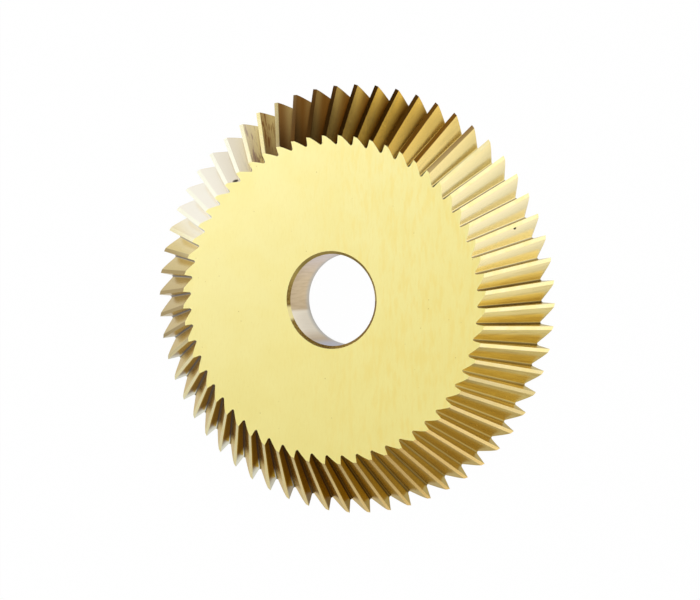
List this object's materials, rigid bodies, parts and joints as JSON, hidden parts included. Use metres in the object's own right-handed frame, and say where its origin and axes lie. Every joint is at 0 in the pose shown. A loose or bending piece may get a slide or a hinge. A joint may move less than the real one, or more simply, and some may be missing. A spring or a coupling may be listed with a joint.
{
  "type": "single-angle milling cutter",
  "caption": "Disc-shaped milling cutter in one piece, with fine saw-like teeth round a bevelled rim, a flat face on each side and a plain round arbor bore.",
  "frame": {"origin": "centre of the back face, on the bore's axis", "axes": "+Z runs along the bore's axis from the wide back face to the smaller front face, and +X points through the tip of one tooth"},
  "size_m": [0.06, 0.06, 0.0073],
  "materials": {
    "coated_tool_steel": "ground steel with a thin gold-coloured hard coating, bare in the bore"
  },
  "bodies": {
    "root": {"bevel_cutter": "coated_tool_steel"}
  },
  "joints": []
}
